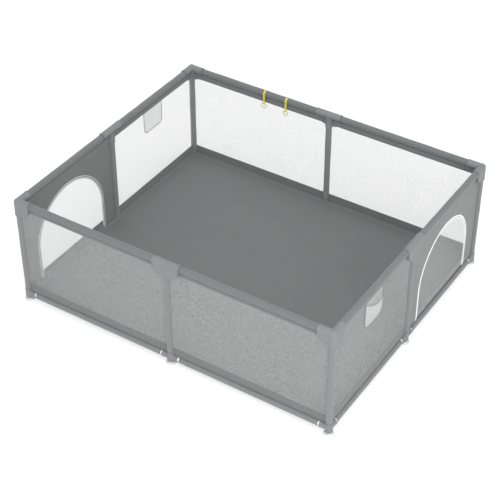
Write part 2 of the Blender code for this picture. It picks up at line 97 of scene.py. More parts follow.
TEE_LOW, TEE_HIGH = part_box("top_tee_front")
TOP_COLLAR = TEE_HIGH.z - TOP
TOP_REACH = TEE_HIGH.x
TOP_DROP = TOP - TEE_LOW.z
FOOT_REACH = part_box("foot_tee_front")[1].x
FOOT_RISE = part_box("foot_tee_front")[1].z - BOTTOM
CUP_RADIUS = extent("suction_cup_front_left").x / 2
CUP_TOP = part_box("foot_corner_front_left")[0].z  # where the foot's base ends

DOOR_LOW, DOOR_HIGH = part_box("door_right")
DOOR_RADIUS = (DOOR_HIGH.y - DOOR_LOW.y) / 2
DOOR_X = (DOOR_HIGH.y + DOOR_LOW.y) / 2  # its middle, in its side's own frame
DOOR_SPRING = DOOR_HIGH.z - DOOR_RADIUS
JOINTS = {joint["name"]: joint for joint in frame["joints"]}
DOOR_FOLD = JOINTS["right_door_fold"]["pos_m"][2]

POCKET_LOW, POCKET_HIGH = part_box("pocket_right")
POCKET_MIDDLE = (POCKET_LOW.y + POCKET_HIGH.y) / 2
POCKET_HALF = extent("pocket_right").y / 2
POCKET_DEPTH = POCKET_HIGH.x - RAIL_X
FLOOR_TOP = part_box("floor_cloth")[1].z

# ------------------------------------------------------------- sewn details
GAP = 0.0005
COLLAR_LIP = 0.0015  # the rolled lip at a collar's end stands this far out
LIP_WIDTH = 0.0035
SOCKET_RADIUS = 0.0203
BOSS_RADIUS = 0.0217  # the rounded post socket of a corner
FLAP_BACK = 0.0040
FLAP_RECESS = 0.0014
FLAP_WRAP = 0.0100
FLAP_FULLNESS = 0.75
FOOT_COLLAR = TUBE + 0.0045
FOOT_BASE = TUBE + 0.0060
VOXEL = 0.0012  # the cell size of a moulding's mesh
SMOOTHING = 3  # how many times that mesh is smoothed
HOLE_DROP = -0.046  # the spring button's hole, on the inner side of a corner, drawn as a dark disc of painted shade

TUBE_WALL = 0.0008
TUBE_EDGE = 0.0003  # the edges of a tube's ends are cut back by this
TUBE_SHOW = 0.009  # bare tube beside each foot
SLEEVE_UNEVEN = 0.00035
HEM_TOP = TOP - SLEEVE + 0.003  # the hem's upper edge is tucked into the sleeve
HEM_DEPTH = {"front": 0.0445, "right": 0.0445, "back": 0.0595, "left": 0.0595}
HEM_BOTTOM = {side: TOP - depth for side, depth in HEM_DEPTH.items()}
HEM_THICK = 0.0040
# painted shade: how far under the rail's axis the dark crease line lies, per side
CREASE_SHADE_DROP = {"front": 0.0250, "right": 0.0300, "back": 0.0250, "left": 0.0300}
CREASE_SHADE_OUT = 0.0022  # painted shade: dark cords lying in the creases under the top sleeves and over the bottom ones
CREASE_SHADE_RADIUS = 0.0013
SKIRT_TOP = BOTTOM + 0.068
SKIRT_BOTTOM = BOTTOM + SLEEVE - 0.003
SKIRT_THICK = 0.0030
PANEL_WAVE = 0.0016
MESH_WAVE = 0.0022
MESH_TUCK = 0.008  # how far the mesh runs into the hem and the skirt
POST_TUCK = 0.003  # how far the cloth runs into a post's sleeve
FLOOR_SAG = 0.004
FLOOR_OVER = 0.0203  # the floor's turned-up edge clears the rail and its collars
FLOOR_EDGE = 0.0030  # it ends this far inside the tube's axis, at the skirt

# half widths; the outside piping is flat, because the slider runs over it
PIPING = 0.0046
PIPING_DEPTH = 0.0016
PIPING_INSIDE = 0.0019
ZIP_TAPE = 0.0030
ZIP_COIL = 0.0014
BINDING = 0.0027
SLIDER_BODY = 0.012  # the slider's height without its pull
BRIDGE_OUT = 0.0012  # how far the bridge stands out
BRIDGE_HALF = 0.0012  # half its width
PULL_HALF = 0.0019  # half the pull's width
PULL_WIRE = 0.0006
STITCH_PITCH = 0.0048
STITCH_LENGTH = 0.0032
STITCH_RADIUS = 0.0005

POCKET_CORNER = 0.034
POCKET_SAG = 0.017
POCKET_RISE = 0.018  # the lip's ends above the CAD pocket's mouth

STRAP_WIDTH = 0.013
STRAP_THICK = 0.0014
STRAP_EYE = 0.0050  # radius of the loop that holds the ring
RING_RADIUS = 0.0150
RING_SECTION = 0.0025

TURN = {"front": 0, "right": 90, "back": 180, "left": 270}
CORNERS = {
    "front_left": (-1, -1, 0),
    "front_right": (1, -1, 90),
    "back_right": (1, 1, 180),
    "back_left": (-1, 1, 270),
}
# the two halves of each side, from the side's own -X to +X, as the nodes name them
HALVES = {
    "front": ("left", "right"),
    "right": ("front", "back"),
    "back": ("right", "left"),
    "left": ("back", "front"),
}


def half_length(side):
    return RAIL_X if side in ("front", "back") else RAIL_Y


def to_world(side):
    offset = RAIL_Y if side in ("front", "back") else RAIL_X
    turn = Matrix.Rotation(math.radians(TURN[side]), 4, "Z")
    return turn @ Matrix.Translation((0, -offset, 0))


# ------------------------------------------------------------------ materials
class Nodes:
    """A short way to build a material's node tree."""

    def __init__(self, name):
        self.material = bpy.data.materials.new(name)
        self.material.use_nodes = True
        self.tree = self.material.node_tree
        self.shader = self.tree.nodes["Principled BSDF"]

    def add(self, kind, **values):
        node = self.tree.nodes.new(kind)
        for key, value in values.items():
            if key in node.inputs:
                node.inputs[key].default_value = value
            else:
                setattr(node, key, value)
        return node

    def link(self, output, target):
        self.tree.links.new(output, target)

    def place(self):
        return self.add("ShaderNodeTexCoord").outputs["Object"]

    def maths(self, operation, first, second=None):
        node = self.add("ShaderNodeMath", operation=operation)
        for socket, value in zip(node.inputs, (first, second)):
            if isinstance(value, (int, float)):
                socket.default_value = value
            elif value is not None:
                self.link(value, socket)
        return node.outputs[0]

    def noise(self, scale, detail=3.0):
        node = self.add("ShaderNodeTexNoise", Scale=scale, Detail=detail)
        self.link(self.place(), node.inputs["Vector"])
        return node.outputs["Fac"]

    def range(self, value, low, high, start=0.0, end=1.0):
        node = self.add("ShaderNodeMapRange")
        node.inputs["From Min"].default_value = start
        node.inputs["From Max"].default_value = end
        node.inputs["To Min"].default_value = low
        node.inputs["To Max"].default_value = high
        self.link(value, node.inputs["Value"])
        return node.outputs["Result"]

    def colours(self, factor, first, second):
        node = self.add("ShaderNodeMix", data_type="RGBA")
        for socket in node.inputs:
            if socket.identifier == "A_Color":
                socket.default_value = (*first, 1)
            if socket.identifier == "B_Color":
                socket.default_value = (*second, 1)
        self.link(factor, node.inputs["Factor"])
        return next(o for o in node.outputs if o.identifier == "Result_Color")

    def bump(self, height, strength, distance):
        node = self.add("ShaderNodeBump", Strength=strength, Distance=distance)
        self.link(height, node.inputs["Height"])
        self.link(node.outputs["Normal"], self.shader.inputs["Normal"])

    def weave(self, pitch):
        """Threads both ways over an upright or a flat face, from 0 to 1."""
        apart = self.add("ShaderNodeSeparateXYZ")
        self.link(self.place(), apart.inputs[0])
        along = self.maths("ADD", apart.outputs[0], apart.outputs[1])
        across = self.maths("SUBTRACT", apart.outputs[2], apart.outputs[1])
        turns = 2 * math.pi / pitch
        warp = self.maths("SINE", self.maths("MULTIPLY", along, turns))
        weft = self.maths("SINE", self.maths("MULTIPLY", across, turns))
        return self.maths("MULTIPLY", warp, weft)


def shade(colour, factor):
    return tuple(channel * factor for channel in colour)


def cloth_material(name, colour, pitch=0.0014, vary=0.06):
    """Plain woven polyester: threads, a faint mottle and soft creases."""
    made = Nodes(name)
    mottle = made.noise(24.0, 5.0)
    made.link(
        made.colours(mottle, shade(colour, 1 - vary), shade(colour, 1 + vary)),
        made.shader.inputs["Base Color"],
    )
    made.link(made.range(made.noise(60.0), 0.78, 0.92), made.shader.inputs["Roughness"])
    made.shader.inputs["Sheen Weight"].default_value = 0.25
    made.shader.inputs["Sheen Roughness"].default_value = 0.5
    creases = made.maths("MULTIPLY", made.noise(9.0, 4.0), 6.0)
    made.bump(made.maths("ADD", made.weave(pitch), creases), 0.25, 0.0004)
    return made.material


def mesh_material(name, colour, cell, holes, thread):
    """Knitted mesh: round holes in a regular grid, with soft edges.

    cell is the grid's pitch, and holes and thread are how much a hole and a thread hide.
    """
    made = Nodes(name)
    apart = made.add("ShaderNodeSeparateXYZ")
    made.link(made.place(), apart.inputs[0])
    along = made.maths("ADD", apart.outputs[0], apart.outputs[1])
    flat = made.add("ShaderNodeCombineXYZ")
    made.link(along, flat.inputs[0])
    made.link(apart.outputs[2], flat.inputs[1])
    cells = made.add("ShaderNodeTexVoronoi", Scale=1 / cell, Randomness=0.0)
    cells.voronoi_dimensions = "2D"
    made.link(flat.outputs[0], cells.inputs["Vector"])
    distance = cells.outputs["Distance"]
    hides = made.range(distance, holes, thread, 0.30, 0.48)
    uneven = made.range(made.noise(125.0, 2.0), 0.62, 1.38, 0.25, 0.75)
    made.link(made.maths("MULTIPLY", hides, uneven), made.shader.inputs["Alpha"])
    made.link(
        made.colours(made.noise(30.0), shade(colour, 0.95), shade(colour, 1.05)),
        made.shader.inputs["Base Color"],
    )
    made.shader.inputs["Roughness"].default_value = 0.8
    made.shader.inputs["Sheen Weight"].default_value = 0.2
    made.bump(distance, 0.3, 0.0004)
    return made.material


def plastic_material(name, colour, roughness=0.5, clear=0.0):
    """Moulded plastic with a fine grain."""
    made = Nodes(name)
    made.link(
        made.colours(made.noise(40.0), shade(colour, 0.96), shade(colour, 1.04)),
        made.shader.inputs["Base Color"],
    )
    made.link(
        made.range(made.noise(900.0, 2.0), roughness - 0.07, roughness + 0.07),
        made.shader.inputs["Roughness"],
    )
    made.shader.inputs["Transmission Weight"].default_value = clear
    made.shader.inputs["IOR"].default_value = 1.45
    made.bump(made.noise(1400.0, 2.0), 0.12, 0.0002)
    return made.material


def coated_steel_material(name, colour):
    """White powder coat: a faint orange peel."""
    made = Nodes(name)
    made.link(
        made.colours(made.noise(70.0), shade(colour, 0.97), colour),
        made.shader.inputs["Base Color"],
    )
    made.link(made.range(made.noise(300.0), 0.28, 0.42), made.shader.inputs["Roughness"])
    made.bump(made.noise(700.0, 2.0), 0.08, 0.0002)
    return made.material


CLOTH = cloth_material("grey_cloth", (0.134, 0.139, 0.139))
SLEEVE_CLOTH = cloth_material("sleeve_cloth", (0.130, 0.136, 0.137))
# painted light: a lighter copy of the sleeve cloth, standing for the light that falls on the
# upright posts' sleeves and the bottom sleeves
LIT_POST_CLOTH = cloth_material("post_cloth", (0.162, 0.169, 0.170))
SKIRT_CLOTH = cloth_material("skirt_cloth", (0.126, 0.132, 0.132))
HEM_CLOTH = cloth_material("hem_cloth", (0.138, 0.143, 0.143))
FLOOR_CLOTH = cloth_material("floor_cloth_grey", (0.128, 0.131, 0.132), 0.0018, 0.03)
MESH = mesh_material("wall_mesh", (0.45, 0.46, 0.46), 0.0037, 0.04, 0.60)
DOOR_MESH = mesh_material("door_mesh_pale", (0.47, 0.48, 0.48), 0.0030, 0.04, 0.60)
POCKET_MESH = mesh_material("pocket_mesh_white", (0.70, 0.70, 0.69), 0.0028, 0.10, 0.50)
PLASTIC = plastic_material("connector_grey", (0.172, 0.178, 0.182))
CUP = plastic_material("cup_clear", (0.55, 0.57, 0.57), 0.20, 0.10)
STEEL = coated_steel_material("tube_white", (0.80, 0.80, 0.79))
WHITE = cloth_material("white_piping", (0.78, 0.78, 0.78), 0.0012, 0.02)
# the zip tape is really dark; the same material also paints the shade in the rail creases and the
# button holes
DARK_TAPE_AND_PAINTED_SHADE = cloth_material("zip_tape_dark", (0.060, 0.063, 0.064), 0.0010)
BINDING_GREY = cloth_material("binding_grey", (0.20, 0.205, 0.205), 0.0010)
THREAD = cloth_material("thread_grey", (0.11, 0.113, 0.115), 0.0008)
YELLOW = cloth_material("strap_yellow", (0.58, 0.50, 0.045), 0.0013, 0.05)
RING = plastic_material("ring_yellow", (0.66, 0.56, 0.12), 0.25, 0.15)
ZIP_METAL = plastic_material("zip_pale", (0.55, 0.56, 0.57), 0.35)


# -------------------------------------------------------------------- meshes
def evaluated(obj):
    """The mesh of a helper object with its modifiers applied; the helper is removed."""
    bpy.context.scene.collection.objects.link(obj)
    graph = bpy.context.evaluated_depsgraph_get()
    mesh = bpy.data.meshes.new_from_object(obj.evaluated_get(graph))
    bpy.data.objects.remove(obj, do_unlink=True)
    return mesh


def tidy(mesh, angle=40):
    bm = bmesh.new()
    bm.from_mesh(mesh)
    bmesh.ops.remove_doubles(bm, verts=bm.verts, dist=0.000002)
    bmesh.ops.recalc_face_normals(bm, faces=bm.faces)
    bm.to_mesh(mesh)
    bm.free()
    mesh.shade_smooth()
    mesh.set_sharp_from_angle(angle=math.radians(angle))
    return mesh


def closed(mesh):
    """Fills the open ends of a tube or a band."""
    bm = bmesh.new()
    bm.from_mesh(mesh)
    bmesh.ops.holes_fill(bm, edges=[edge for edge in bm.edges if edge.is_boundary])
    bm.to_mesh(mesh)
    bm.free()
    return mesh


def sheet_mesh(columns, rows, place, ring=False):
    """Quads over s and t, each from 0 to 1; with ring, s goes round and joins up.

    place(s, t) gives the arrays of x, y and z.
    """
    wide = columns if ring else columns + 1
    s, t = np.meshgrid(np.linspace(0, 1, columns + 1)[:wide], np.linspace(0, 1, rows + 1))
    points = np.stack(np.broadcast_arrays(*place(s, t)), axis=-1).reshape(-1, 3)
    faces = []
    for row in range(rows):
        for column in range(columns):
            after = (column + 1) % wide
            low, high = row * wide, (row + 1) * wide
            faces.append((low + column, low + after, high + after, high + column))
    mesh = bpy.data.meshes.new("sheet")
    mesh.from_pydata(points.tolist(), [], faces)
    return mesh


def ripple(a, b, seed, size, waves=7):
    """Smooth uneven waves about size metres long, roughly from -1 to 1."""
    random = np.random.default_rng(seed)
    total = 0
    for _ in range(waves):
        heading = random.uniform(0, 2 * math.pi)
        length = size * random.uniform(0.6, 1.8)
        phase = random.uniform(0, 2 * math.pi)
        total = total + np.sin(
            2 * math.pi * (a * math.cos(heading) + b * math.sin(heading)) / length + phase
        )
    return total / waves**0.5


def mesh_of(bm, name):
    mesh = bpy.data.meshes.new(name)
    bm.to_mesh(mesh)
    bm.free()
    return mesh


def pointing(along):
    """The turn that points Z along a vector."""
    return Vector((0, 0, 1)).rotation_difference(along).to_matrix().to_4x4()


def rod(start, end, radius, sides=40):
    start, end = Vector(start), Vector(end)
    bm = bmesh.new()
    bmesh.ops.create_cone(
        bm,
        cap_ends=True,
        segments=sides,
        radius1=radius,
        radius2=radius,
        depth=(end - start).length,
        matrix=Matrix.Translation((start + end) / 2) @ pointing(end - start),
    )
    return mesh_of(bm, "rod")


def ball(centre, radius):
    bm = bmesh.new()
    place = Matrix.Translation(centre)
    bmesh.ops.create_uvsphere(bm, u_segments=32, v_segments=20, radius=radius, matrix=place)
    return mesh_of(bm, "ball")


def plate(outline, axes, start, thickness):
    """An outline of (u, v) points pushed through a thickness along the third axis."""
    u_axis, v_axis, through = (Vector(axis) for axis in axes)
    bm = bmesh.new()
    points = [bm.verts.new(Vector(start) + u_axis * u + v_axis * v) for u, v in outline]
    pushed = bmesh.ops.extrude_face_region(bm, geom=[bm.faces.new(points)])["geom"]
    moved = [item for item in pushed if isinstance(item, bmesh.types.BMVert)]
    bmesh.ops.translate(bm, vec=through * thickness, verts=moved)
    bmesh.ops.recalc_face_normals(bm, faces=bm.faces)
    return mesh_of(bm, "plate")


def joined(meshes):
    bm = bmesh.new()
    for mesh in meshes:
        bm.from_mesh(mesh)
        bpy.data.meshes.remove(mesh)
    return mesh_of(bm, "joined")


def moulded(meshes):
    """Overlapping solids run together into one moulding with soft edges."""
    obj = bpy.data.objects.new("moulding", joined(meshes))
    remesh = obj.modifiers.new("remesh", "REMESH")
    remesh.mode = "VOXEL"
    remesh.voxel_size = VOXEL
    smooth = obj.modifiers.new("smooth", "SMOOTH")
    smooth.factor = 0.5
    smooth.iterations = SMOOTHING
    mesh = evaluated(obj)
    mesh.shade_smooth()
    return mesh


def turned(profile, steps=64):
    """A profile of (radius, height) points turned round Z."""
    mesh = bpy.data.meshes.new("profile")
    points = [(radius, 0, height) for radius, height in profile]
    mesh.from_pydata(points, [(i, i + 1) for i in range(len(points) - 1)], [])
    obj = bpy.data.objects.new("profile", mesh)
    screw = obj.modifiers.new("turn", "SCREW")
    screw.steps = screw.render_steps = steps
    screw.use_merge_vertices = True
    screw.merge_threshold = 0.00001
    return tidy(evaluated(obj))


def sweep(path, wide, thick, sides=12, loop=False, flat_axis=(0, 1, 0)):
    """A tube along a path, wide across flat_axis and thick the other way (half sizes)."""
    path = np.array([tuple(point) for point in path], float)
    count = len(path)
    if loop:
        ahead, behind = np.roll(path, -1, axis=0), np.roll(path, 1, axis=0)
    else:
        ahead = np.vstack([path[1:], path[-1:]])
        behind = np.vstack([path[:1], path[:-1]])
    along = ahead - behind
    along /= np.linalg.norm(along, axis=1)[:, None]
    side = np.cross(along, np.array(flat_axis, float))
    side /= np.linalg.norm(side, axis=1)[:, None]
    level = np.cross(side, along)
    angles = np.linspace(0, 2 * math.pi, sides + 1)[:-1]
    points = []
    for centre, u, v in zip(path, level, side):
        for angle in angles:
            points.append(centre + u * wide * math.cos(angle) + v * thick * math.sin(angle))
    faces = []
    for ring in range(count if loop else count - 1):
        after = (ring + 1) % count
        for i in range(sides):
            k = (i + 1) % sides
            faces.append(
                (ring * sides + i, ring * sides + k, after * sides + k, after * sides + i)
            )
    mesh = bpy.data.meshes.new("sweep")
    mesh.from_pydata([tuple(point) for point in points], [], faces)
    return tidy(mesh if loop else closed(mesh), 60)


# -------------------------------------------------------------------- pieces
def piece(name, mesh, material, body="frame", nodes=(), slot=None, matrix=None):
    """A piece of the visual model that rides on a body."""
    if matrix is not None:
        mesh.transform(matrix)
    obj = bpy.data.objects.new(name, mesh)
    bpy.context.scene.collection.objects.link(obj)
    mesh.materials.clear()
    mesh.materials.append(material)
    if body is not None:
        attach(obj, body)
    if nodes:
        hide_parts(*nodes)
    return obj


# ---------------------------------------------------------------- tube frame
def tube_piece(node):
    """A smooth round tube in place of the faceted one."""
    low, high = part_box(node)
    size = high - low
    axis = max(range(3), key=lambda i: size[i])
    centre = (low + high) / 2
    start, end = centre.copy(), centre.copy()
    start[axis], end[axis] = low[axis], high[axis]
    profile = (
        (TUBE - TUBE_WALL, 0),
        (TUBE - TUBE_EDGE, 0),
        (TUBE, TUBE_EDGE),
        (TUBE, size[axis] - TUBE_EDGE),
        (TUBE - TUBE_EDGE, size[axis]),
        (TUBE - TUBE_WALL, size[axis]),
        (TUBE - TUBE_WALL, 0),
    )
    mesh = turned(profile, 40)
    matrix = Matrix.Translation(start) @ pointing(end - start)
    piece("steel_" + node, mesh, STEEL, nodes=(node,), slot="steel_tube", matrix=matrix)


def build_tubes():
    for node in frame["nodes"]:
        if "_post_" in node or "_rail_" in node:
            tube_piece(node)


# ---------------------------------------------------------------- connectors
def collar(direction, radius, reach):
    """A collar from the crossing of the axes, with a rolled lip at its end."""
    direction = Vector(direction)
    lip = direction * (reach - LIP_WIDTH)
    return [
        rod((0, 0, 0), direction * reach, radius),
        rod(lip, direction * reach, radius + COLLAR_LIP),
    ]


def flap_plate(left, right, outward, front):
    """The rounded shield that hangs under the rail on the side that looks outward."""
    steps = 40
    drop = TOP_DROP - 0.002
    outline = []
    for step in range(steps + 1):
        angle = math.pi + math.pi * step / steps
        across = math.copysign(abs(math.cos(angle)) ** FLAP_FULLNESS, math.cos(angle))
        reach = left if across < 0 else right
        outline.append((across * reach, -drop * abs(math.sin(angle)) ** FLAP_FULLNESS))
    outward = Vector(outward)
    along = Vector((1, 0, 0)) if outward.y else Vector((0, 1, 0))
    axes = (along, (0, 0, 1), outward)
    return plate(outline, axes, outward * FLAP_BACK, front - FLAP_BACK)


def top_tee():
    solids = collar((1, 0, 0), TOP_COLLAR, TOP_REACH) + collar((-1, 0, 0), TOP_COLLAR, TOP_REACH)
    solids.append(rod((0, 0, 0), (0, 0, -TOP_DROP), SOCKET_RADIUS))
    ring = -TOP_DROP + LIP_WIDTH
    solids.append(rod((0, 0, ring), (0, 0, -TOP_DROP), SOCKET_RADIUS + COLLAR_LIP * 0.8))
    solids.append(flap_plate(TOP_REACH - GAP, TOP_REACH - GAP, (0, -1, 0), TOP_COLLAR + GAP))
    return moulded(solids)


def top_corner():
    """The front left corner: its rails leave along +X and +Y."""
    solids = collar((1, 0, 0), TOP_COLLAR, TOP_REACH) + collar((0, 1, 0), TOP_COLLAR, TOP_REACH)
    solids.append(ball((0, 0, 0), BOSS_RADIUS))
    solids.append(rod((0, 0, 0), (0, 0, -TOP_DROP), BOSS_RADIUS))
    ring = -TOP_DROP + LIP_WIDTH
    solids.append(rod((0, 0, ring), (0, 0, -TOP_DROP), BOSS_RADIUS + COLLAR_LIP * 0.8))
    front = TOP_COLLAR - FLAP_RECESS
    solids.append(flap_plate(FLAP_WRAP, TOP_REACH - GAP, (0, -1, 0), front))
    solids.append(flap_plate(FLAP_WRAP, TOP_REACH - GAP, (-1, 0, 0), front))
    return moulded(solids)


def foot(directions):
    solids = []
    for direction in directions:
        solids += collar(direction, FOOT_COLLAR, FOOT_REACH)
    solids.append(rod((0, 0, -FOOT_COLLAR / 2), (0, 0, FOOT_RISE), FOOT_COLLAR + 0.0012))
    solids.append(rod((0, 0, 0), (0, 0, CUP_TOP - BOTTOM), FOOT_BASE))
    solids.append(ball((0, 0, 0), FOOT_COLLAR + 0.0008))
    return moulded(solids)


def cup():
    """A soft suction cup: a thin flared skirt under a thick crown."""
    height = CUP_TOP
    return turned(
        (
            (0, height),
            (CUP_RADIUS * 0.45, height),
            (CUP_RADIUS * 0.62, height * 0.97),
            (CUP_RADIUS * 0.76, height * 0.76),
            (CUP_RADIUS * 0.90, height * 0.42),
            (CUP_RADIUS * 0.985, height * 0.14),
            (CUP_RADIUS, height * 0.04),
            (CUP_RADIUS * 0.99, 0),
            (CUP_RADIUS * 0.90, 0),
            (CUP_RADIUS * 0.80, height * 0.18),
            (CUP_RADIUS * 0.50, height * 0.36),
            (0, height * 0.42),
        )
    )


def build_post_ends(name, ground, cap, base, cup_mesh, nodes):
    """The connector on top of a post, the foot under it and the foot's suction cup."""
    high = ground @ Matrix.Translation((0, 0, TOP))
    low = ground @ Matrix.Translation((0, 0, BOTTOM))
    for kind, mesh, material, node, slot, matrix in (
        ("cap_", cap, PLASTIC, nodes[0], "connector", high),
        ("foot_", base, PLASTIC, nodes[1], "connector", low),
        ("cup_", cup_mesh, CUP, nodes[2], "suction_cup", ground),
    ):
        piece(kind + name, mesh.copy(), material, "frame", [node], slot, matrix)


def build_connectors():
    corner, tee, cup_mesh = top_corner(), top_tee(), cup()
    corner_foot, mid_foot = foot(((1, 0, 0), (0, 1, 0))), foot(((1, 0, 0), (-1, 0, 0)))
    for name, (sx, sy, turn) in CORNERS.items():
        spin = Matrix.Rotation(math.radians(turn), 4, "Z")
        ground = Matrix.Translation((sx * RAIL_X, sy * RAIL_Y, 0)) @ spin
        nodes = "top_corner_" + name, "foot_corner_" + name, "suction_cup_" + name
        build_post_ends(name, ground, corner, corner_foot, cup_mesh, nodes)
        high = ground @ Matrix.Translation((0, 0, TOP))
        # painted shade: a dark disc flush with the corner stands for the shadow inside the
        # button's hole
        hole = rod((0.012, 0.012, HOLE_DROP), (0.0157, 0.0157, HOLE_DROP), 0.0040, 24)
        piece("button_hole_" + name, hole, DARK_TAPE_AND_PAINTED_SHADE, "frame", ["top_corner_" + name], None, high)
    for side in TURN:
        nodes = "top_tee_" + side, "foot_tee_" + side, "foot_tee_" + side
        build_post_ends(side, to_world(side), tee, mid_foot, cup_mesh, nodes)


# ---------------------------------------------------------------- the cover
def sleeve_mesh(start, end, seed):
    """A padded sleeve round a tube: gathered a little and turned in at both ends."""
    start, end = Vector(start), Vector(end)
    long = (end - start).length
    lip = ((0, TUBE + GAP), (0.0002, SLEEVE - 0.0016), (0.0010, SLEEVE - 0.0006), (0.0030, SLEEVE))
    steps = max(8, round(long / 0.012))
    inner = [0.006 + (long - 0.012) * i / steps for i in range(steps + 1)]
    stations = [d for d, _ in lip] + inner + [long - d for d, _ in reversed(lip)]
    radii = [r for _, r in lip] + [SLEEVE] * len(inner) + [r for _, r in reversed(lip)]
    stations, radii = np.array(stations), np.array(radii)

    def place(s, t):
        row = np.rint(t * (len(stations) - 1)).astype(int)
        along, radius = stations[row], radii[row]
        angle = 2 * math.pi * s
        ends = np.exp(-np.minimum(along, long - along) / 0.03)
        around = SLEEVE * np.sin(angle)
        uneven = SLEEVE_UNEVEN * ripple(along, around, seed, 0.16)
        gathers = 0.00035 * ends * np.cos(11 * angle + seed)
        radius = radius + np.where(radius > SLEEVE - 0.001, uneven + gathers, 0)
        return radius * np.cos(angle), radius * np.sin(angle), along

    mesh = tidy(sheet_mesh(32, len(stations) - 1, place, ring=True), 60)
    mesh.transform(Matrix.Translation(start) @ pointing(end - start))
    return mesh


def band_mesh(start, end, low, high, thick, seed):
    """A strip of doubled cloth along a side, rounded at both edges and a little wavy."""
    steps = max(6, round((end - start) / 0.015))
    half, tall = thick / 2, (high - low) / 2

    def place(s, t):
        along = start + (end - start) * t
        angle = 2 * math.pi * s
        out = half * np.sign(np.cos(angle)) * np.abs(np.cos(angle)) ** 0.35
        up = tall * np.sign(np.sin(angle)) * np.abs(np.sin(angle)) ** 0.9
        loose = np.clip(0.5 + up / (2 * tall), 0, 1)
        wave = 0.0006 * ripple(along, along * 0, seed, 0.20) * (1 - 0.6 * loose)
        return along, out + wave, (low + high) / 2 + up

    return tidy(closed(sheet_mesh(24, steps, place, ring=True)), 60)


def wall_sheet(start, end, low, high, wave, seed):
    """Cloth stretched between hem and skirt: held at its edges, a little loose between."""

    def place(s, t):
        held = np.sin(math.pi * s) ** 0.6 * np.sin(math.pi * t) ** 0.6
        x = start + (end - start) * s
        z = low + (high - low) * t
        return x, held * wave * (ripple(x, z * 0.45, seed, 0.30) + 0.3), z

    columns, rows = round((end - start) / 0.016), round((high - low) / 0.016)
    return tidy(sheet_mesh(columns, rows, place))


def bay_range(side, which):
    """Where the cloth of a half of a side starts and ends, inside its posts' sleeves."""
    far = half_length(side)
    inset = SLEEVE - POST_TUCK
    return (-far + inset, -inset) if which == 0 else (inset, far - inset)


def build_bay(side, which):
    """One half of a side; doors are in the +X half of the short sides."""
    name = f"{side}_{HALVES[side][which]}"
    world, wall = to_world(side), "wall_" + side
    start, end = bay_range(side, which)
    seed = 10 * list(TURN).index(side) + which
    sign = 1 if which else -1
    far = half_length(side)
    for level, height, inset, cloth in (
        ("top", TOP, TOP_REACH + GAP, SLEEVE_CLOTH),
        ("bottom", BOTTOM, FOOT_REACH + TUBE_SHOW, LIT_POST_CLOTH),
    ):
        ends = (sign * inset, 0, height), (sign * (far - inset), 0, height)
        mesh = sleeve_mesh(*ends, seed + 100)
        piece(f"sleeve_{level}_{name}", mesh, cloth, "frame", [wall], "cover", world)
    hem = band_mesh(start, end, HEM_BOTTOM[side], HEM_TOP, HEM_THICK, seed + 200)
    hem = piece("hem_" + name, hem, HEM_CLOTH, "frame", [wall], "cover", world)
    # painted shade: dark cords along the crease under the top sleeve and over the bottom sleeve
    # stand in for the shadow there
    sewn_seams_and_shade_lines = []
    for height in (TOP - CREASE_SHADE_DROP[side], BOTTOM + SLEEVE + 0.0002):
        for out in (-CREASE_SHADE_OUT, CREASE_SHADE_OUT):
            line = [(start, out, height), (end, out, height)]
            sewn_seams_and_shade_lines.append(sweep(line, CREASE_SHADE_RADIUS, CREASE_SHADE_RADIUS, 8))
    piece("creases_" + name, joined(sewn_seams_and_shade_lines), DARK_TAPE_AND_PAINTED_SHADE, "frame", [wall], None, world)
    has_door = side in ("left", "right") and which == 1
    low, high = SKIRT_TOP - MESH_TUCK, HEM_BOTTOM[side] + MESH_TUCK
    if has_door:
        low = SKIRT_BOTTOM
        panel = door_panel(start, end, low, high, seed)
        panel = piece("panel_" + name, panel, CLOTH, "frame", [wall], "cover", world)
    else:
        skirt = band_mesh(start, end, SKIRT_BOTTOM, SKIRT_TOP, SKIRT_THICK, seed + 300)
        skirt = piece("skirt_" + name, skirt, SKIRT_CLOTH, "frame", [wall], "cover", world)
        panel = wall_sheet(start, end, low, high, MESH_WAVE, seed + 400)
        panel = piece("mesh_" + name, panel, MESH, "frame", [wall], "cover", world)


def arch(radius, low, steps=48):
    """Points up one side of a doorway, over its arch and down the other, as (x, z)."""
    points = [(radius, low + (DOOR_SPRING - low) * i / 12) for i in range(12)]
    for step in range(steps + 1):
        angle = math.pi * step / steps
        points.append((radius * math.cos(angle), DOOR_SPRING + radius * math.sin(angle)))
    points += [(-radius, DOOR_SPRING + (low - DOOR_SPRING) * i / 12) for i in range(1, 13)]
    return points


def door_panel(start, end, low, high, seed):
    """Opaque cloth round the doorway."""
    obj = bpy.data.objects.new("panel", wall_sheet(start, end, low, high, PANEL_WAVE, seed + 500))
    thick = obj.modifiers.new("thick", "SOLIDIFY")
    thick.thickness = 0.0014
    thick.offset = 0
    outline = arch(DOOR_RADIUS + 0.0012, low - 0.01)
    cutter = plate(outline, ((1, 0, 0), (0, 0, 1), (0, 1, 0)), (DOOR_X, -0.02, 0), 0.04)
    tool = bpy.data.objects.new("doorway", cutter)
    bpy.context.scene.collection.objects.link(tool)
    boolean = obj.modifiers.new("doorway", "BOOLEAN")
    boolean.operation = "DIFFERENCE"
    boolean.solver = "EXACT"
    boolean.object = tool
    mesh = evaluated(obj)
    bpy.data.objects.remove(tool, do_unlink=True)
    return tidy(mesh)


